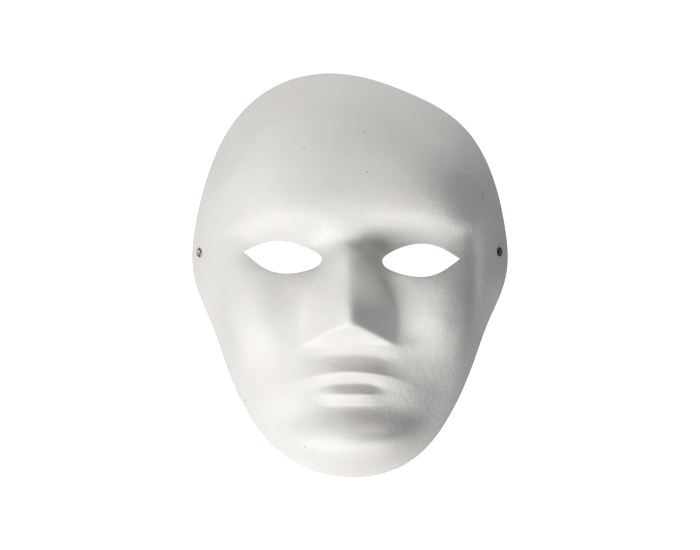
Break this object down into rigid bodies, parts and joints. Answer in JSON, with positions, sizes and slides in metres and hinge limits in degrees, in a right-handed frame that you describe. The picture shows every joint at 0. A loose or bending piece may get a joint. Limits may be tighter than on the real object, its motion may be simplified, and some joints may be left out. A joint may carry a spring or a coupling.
{
  "type": "paintable craft mask",
  "caption": "Blank full-face craft mask in thin white pulp, with almond eye holes and a brass eyelet at each temple for a cord.",
  "frame": {"origin": "middle of the rim's outline, on the plane that the rim rests on", "axes": "+X to the right seen from the front, +Y towards the forehead, +Z out of the face"},
  "size_m": [0.1889, 0.2416, 0.0873],
  "materials": {
    "pulp": "matt white paper pulp with a fine screen texture",
    "eyelet": "dulled dark brass"
  },
  "bodies": {
    "root": {"mask_shell": "pulp", "eyelet_left": "eyelet", "eyelet_right": "eyelet"}
  },
  "joints": []
}
